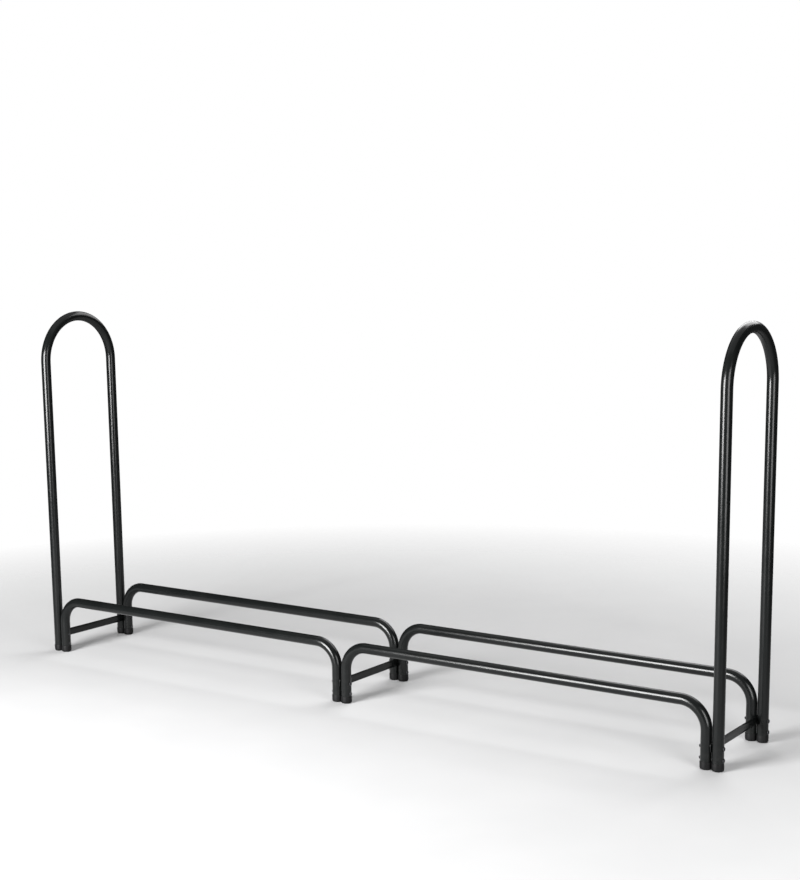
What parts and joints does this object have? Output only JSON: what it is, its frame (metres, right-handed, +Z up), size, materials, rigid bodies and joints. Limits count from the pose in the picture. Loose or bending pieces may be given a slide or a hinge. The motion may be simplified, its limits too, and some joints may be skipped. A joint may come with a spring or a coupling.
{
  "type": "firewood log rack",
  "caption": "Long open log rack of black steel tube: tall round-topped end hoops bolted to low inverted-U rails, with flat cross braces and plastic foot caps.",
  "frame": {"origin": "on the floor, at the middle of the rack's length and depth", "axes": "+X along the rack, +Y from front to back, +Z up"},
  "size_m": [2.5172, 0.3388, 1.1734],
  "materials": {
    "frame": "satin powder coat, near black",
    "foot": "moulded black plastic, slightly textured",
    "fastener": "black zinc-plated steel, semi-gloss"
  },
  "bodies": {
    "root": {"hoop_left": "frame", "hoop_right": "frame", "rail_front_left": "frame", "rail_front_right": "frame", "rail_back_left": "frame", "rail_back_right": "frame", "brace_left": "frame", "brace_center": "frame", "brace_right": "frame", "foot_front_1": "foot", "foot_front_2": "foot", "foot_front_3": "foot", "foot_front_4": "foot", "foot_front_5": "foot", "foot_front_6": "foot", "foot_back_1": "foot", "foot_back_2": "foot", "foot_back_3": "foot", "foot_back_4": "foot", "foot_back_5": "foot", "foot_back_6": "foot", "bolt_front_left_low": "fastener", "bolt_front_left_high": "fastener", "bolt_front_center_low": "fastener", "bolt_front_center_high": "fastener", "bolt_front_right_low": "fastener", "bolt_front_right_high": "fastener", "bolt_back_left_low": "fastener", "bolt_back_left_high": "fastener", "bolt_back_center_low": "fastener", "bolt_back_center_high": "fastener", "bolt_back_right_low": "fastener", "bolt_back_right_high": "fastener", "nut_front_left_low": "fastener", "nut_front_left_high": "fastener", "nut_front_center_low": "fastener", "nut_front_center_high": "fastener", "nut_front_right_low": "fastener", "nut_front_right_high": "fastener", "nut_back_left_low": "fastener", "nut_back_left_high": "fastener", "nut_back_center_low": "fastener", "nut_back_center_high": "fastener", "nut_back_right_low": "fastener", "nut_back_right_high": "fastener"}
  },
  "joints": []
}
